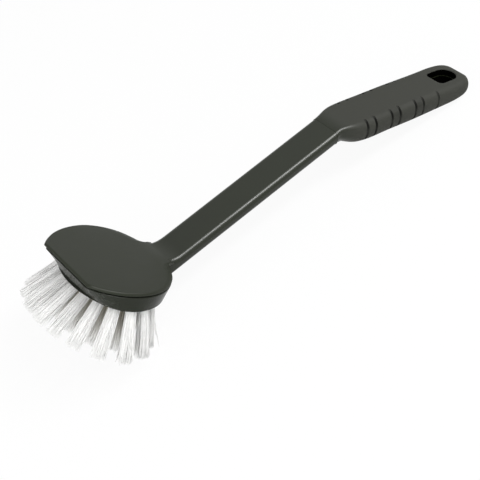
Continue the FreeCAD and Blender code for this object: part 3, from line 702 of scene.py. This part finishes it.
def build_tuft(node, points, faces, material):
    """One tuft of separate filaments that flare, gather into locks and end slightly uneven."""
    look = sizes()
    chance = random.Random(node)
    foot, tip = tuft_axis(node)
    along = (tip - foot).normalized()
    turn = along.to_track_quat("Z", "Y").to_matrix()
    # Painted shade towards the roots, deeper and longer in the inner rows.
    painted_light_at_root, painted_light_gain = OUTER_PAINTED_LIGHT if "outer" in node else INNER_PAINTED_LIGHT
    start = look.hole_depth * START_SHARE
    length = (tip - foot).length - start
    locks = [Vector((0, 0, 0))]
    for i in range(LOCK_COUNT):
        angle = 2 * math.pi * (i + chance.uniform(-LOCK_SHIFT, LOCK_SHIFT)) / LOCK_COUNT
        reach = look.tip_radius * chance.uniform(*LOCK_REACH)
        locks.append(Vector((reach * math.cos(angle), reach * math.sin(angle), 0)))
    mesh = bmesh.new()
    tone_layer = mesh.verts.layers.float.new("strand_tone")
    painted_light_layer = mesh.verts.layers.float.new("strand_share")
    for root in spiral_spots(look.strand_count, look.root_radius, chance):
        flared = root * (look.tip_radius / look.root_radius)
        lock = min(locks, key=lambda spot: (spot - flared).length)
        end = flared.lerp(lock, chance.uniform(0.0, GATHER))
        wander = STRAY_WANDER if chance.random() < STRAY_SHARE else WANDER
        end += Vector((chance.gauss(0, wander), chance.gauss(0, wander), 0))
        bow = Vector((chance.gauss(0, BOW), chance.gauss(0, BOW), 0))
        reach = length * (1 + chance.uniform(-look.uneven_tips, look.uneven_tips * LONG_SHARE))
        tone = chance.uniform(*STRAND_TONES)
        verts = []
        for point in points:
            share = point.z
            local = root.lerp(end, share**FLARE_POWER) + bow * math.sin(math.pi * share)
            local += Vector((point.x, point.y, start + share * reach))
            place = foot + turn @ local
            inside = [
                min(max(p, low + BOX_INSET), high - BOX_INSET)
                for p, low, high in zip(place, *CAD_BOX)
            ]
            vert = mesh.verts.new(inside)
            vert[tone_layer] = tone
            # How lit this point is painted: painted shade towards the root.
            vert[painted_light_layer] = painted_light_at_root + painted_light_gain * share
            verts.append(vert)
        for face in faces:
            mesh.faces.new([verts[i] for i in face])
    data = bpy.data.meshes.new(node.replace("tuft", "filaments"))
    mesh.to_mesh(data)
    mesh.free()
    piece = bpy.data.objects.new(data.name, data)
    bpy.context.collection.objects.link(piece)
    data.materials.append(material)
    data.shade_smooth()
    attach(piece, BODY)
    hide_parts(node)


class BRUSH_OT_tufts(Operator):
    """Build every tuft as a bundle of separate filaments"""

    bl_idname = "brush.tufts"
    bl_label = "Tufts"

    def execute(self, context):
        points, faces = strand_shape()
        material = strand_material()
        for node in TUFTS:
            build_tuft(node, points, faces, material)
        return {"FINISHED"}


class BRUSH_OT_wires(Operator):
    """Finish the anchor wires at the foot of the tufts"""

    bl_idname = "brush.wires"
    bl_label = "Anchor wires"

    def execute(self, context):
        wires = frame["nodes"]["anchor_wires"]
        wires.data.materials.clear()
        wires.data.materials.append(wire_material())
        return {"FINISHED"}


def soft_light(name, place, long_way, size, power):
    """A rectangular soft box aimed at the brush, its length lying the long way."""
    lamp = bpy.data.lights.new(name, "AREA")
    lamp.shape = "RECTANGLE"
    lamp.size, lamp.size_y = size
    lamp.energy = power
    item = bpy.data.objects.new(name, lamp)
    bpy.context.collection.objects.link(item)
    back = (Vector(place) - Vector(LAMP_TARGET)).normalized()
    side = (Vector(long_way) - back * back.dot(Vector(long_way))).normalized()
    turn = Matrix((side, back.cross(side), back)).transposed()
    item.matrix_world = Matrix.Translation(place) @ turn.to_4x4()
    item.visible_diffuse = name != MIRRORED_LAMP


def seen_or_mirrored(tree, place):
    """A mask of the rays from the camera, from a glossy surface or through a clear one."""
    path = add_node(tree, "ShaderNodeLightPath", place)
    total = path.outputs["Is Camera Ray"]
    for step, name in enumerate(("Is Glossy Ray", "Is Transmission Ray"), 1):
        beside = (place[0] + 200 * step, place[1])
        total = reckon(tree, "MAXIMUM", beside, total, path.outputs[name])
    return total


def studio_world():
    """Soft surroundings, brighter overhead than at the horizon, that are seen as white."""
    world = bpy.data.worlds.new("studio")
    world.use_nodes = True
    tree = world.node_tree
    background = tree.nodes["Background"]
    background.inputs["Color"].default_value = (1, 1, 1, 1)
    where = add_node(tree, "ShaderNodeTexCoord", (-900, 0))
    parts = add_node(tree, "ShaderNodeSeparateXYZ", (-700, 0))
    tree.links.new(where.outputs["Generated"], parts.inputs["Vector"])
    strength = add_node(
        tree,
        "ShaderNodeMapRange",
        (-450, 0),
        From_Max=0.9,
        To_Min=HORIZON_LEVEL,
        To_Max=OVERHEAD_LEVEL,
    )
    strength.interpolation_type = "SMOOTHSTEP"
    tree.links.new(parts.outputs["Z"], strength.inputs["Value"])
    level = add_node(tree, "ShaderNodeMix", (-200, 100), B=SEEN_LEVEL)
    tree.links.new(seen_or_mirrored(tree, (-900, 300)), level.inputs["Factor"])
    tree.links.new(strength.outputs["Result"], level.inputs["A"])
    tree.links.new(level.outputs["Result"], background.inputs["Strength"])
    bpy.context.scene.world = world


def floor_material():
    """Pale floor that is seen as white, keeps a soft shadow and is clear from below."""
    material = bpy.data.materials.new("pale_floor")
    material.use_nodes = True
    tree = material.node_tree
    links = tree.links
    shader = tree.nodes["Principled BSDF"]
    output = tree.nodes["Material Output"]
    shader.inputs["Base Color"].default_value = (*colours().floor, 1)
    shader.inputs["Roughness"].default_value = 0.9
    shader.inputs["Specular IOR Level"].default_value = 0.0
    seen = seen_or_mirrored(tree, (-900, 200))
    share = reckon(tree, "MULTIPLY", (-300, 200), seen, FLOOR_GLOW)
    glow = add_node(tree, "ShaderNodeEmission", (-300, -200), Color=(1, 1, 1, 1), Strength=1.0)
    mix = add_node(tree, "ShaderNodeMixShader", (400, 100))
    links.new(share, mix.inputs["Fac"])
    links.new(shader.outputs["BSDF"], mix.inputs[1])
    links.new(glow.outputs["Emission"], mix.inputs[2])
    sides = add_node(tree, "ShaderNodeNewGeometry", (-300, 500))
    clear = add_node(tree, "ShaderNodeBsdfTransparent", (400, -100))
    open_below = add_node(tree, "ShaderNodeMixShader", (650, 100))
    links.new(sides.outputs["Backfacing"], open_below.inputs["Fac"])
    links.new(mix.outputs["Shader"], open_below.inputs[1])
    links.new(clear.outputs["BSDF"], open_below.inputs[2])
    links.new(open_below.outputs["Shader"], output.inputs["Surface"])
    return material


class BRUSH_OT_stage(Operator):
    """Set the floor, the lights and the photograph's camera"""

    bl_idname = "brush.stage"
    bl_label = "Stage"

    def execute(self, context):
        scene = context.scene
        pick()
        bpy.ops.mesh.primitive_plane_add(size=FLOOR_SIZE, location=(0, 0, -FLOOR_DROP))
        floor = context.object
        floor.name = "floor"
        floor.data.materials.append(floor_material())
        studio_world()
        for name, setting in LAMPS.items():
            soft_light(name, *setting)
        lens = bpy.data.cameras.new("photo_camera")
        lens.lens = CAMERA_LENS
        lens.sensor_width = CAMERA_SENSOR
        camera = bpy.data.objects.new("photo_camera", lens)
        context.collection.objects.link(camera)
        camera.location = CAMERA_PLACE
        camera.rotation_euler = [math.radians(angle) for angle in CAMERA_TURN]
        scene.camera = camera
        scene.view_settings.view_transform = "Standard"
        return {"FINISHED"}


class BRUSH_PT_pieces(Panel):
    """Lists the brush's pieces and what can be changed"""

    bl_idname = "BRUSH_PT_pieces"
    bl_label = "Dish brush"
    bl_space_type = "VIEW_3D"
    bl_region_type = "UI"
    bl_category = "Brush"

    def draw(self, context):
        layout = self.layout
        for group in (context.scene.brush_sizes, context.scene.brush_colours):
            for name in group.__annotations__:
                layout.prop(group, name)
        for operator in OPERATORS:
            layout.operator(operator.bl_idname)


OPERATORS = (
    BRUSH_OT_handle,
    BRUSH_OT_grip,
    BRUSH_OT_block,
    BRUSH_OT_tufts,
    BRUSH_OT_wires,
    BRUSH_OT_stage,
)
CLASSES = (BrushSizes, BrushColours, *OPERATORS, BRUSH_PT_pieces)


def register():
    for item in CLASSES:
        bpy.utils.register_class(item)
    bpy.types.Scene.brush_sizes = PointerProperty(type=BrushSizes)
    bpy.types.Scene.brush_colours = PointerProperty(type=BrushColours)


def unregister():
    del bpy.types.Scene.brush_colours
    del bpy.types.Scene.brush_sizes
    for item in reversed(CLASSES):
        bpy.utils.unregister_class(item)


def main():
    register()
    bpy.ops.brush.handle()
    bpy.ops.brush.grip()
    bpy.ops.brush.block()
    bpy.ops.brush.tufts()
    bpy.ops.brush.wires()
    bpy.ops.brush.stage()


if __name__ == "__main__":
    main()
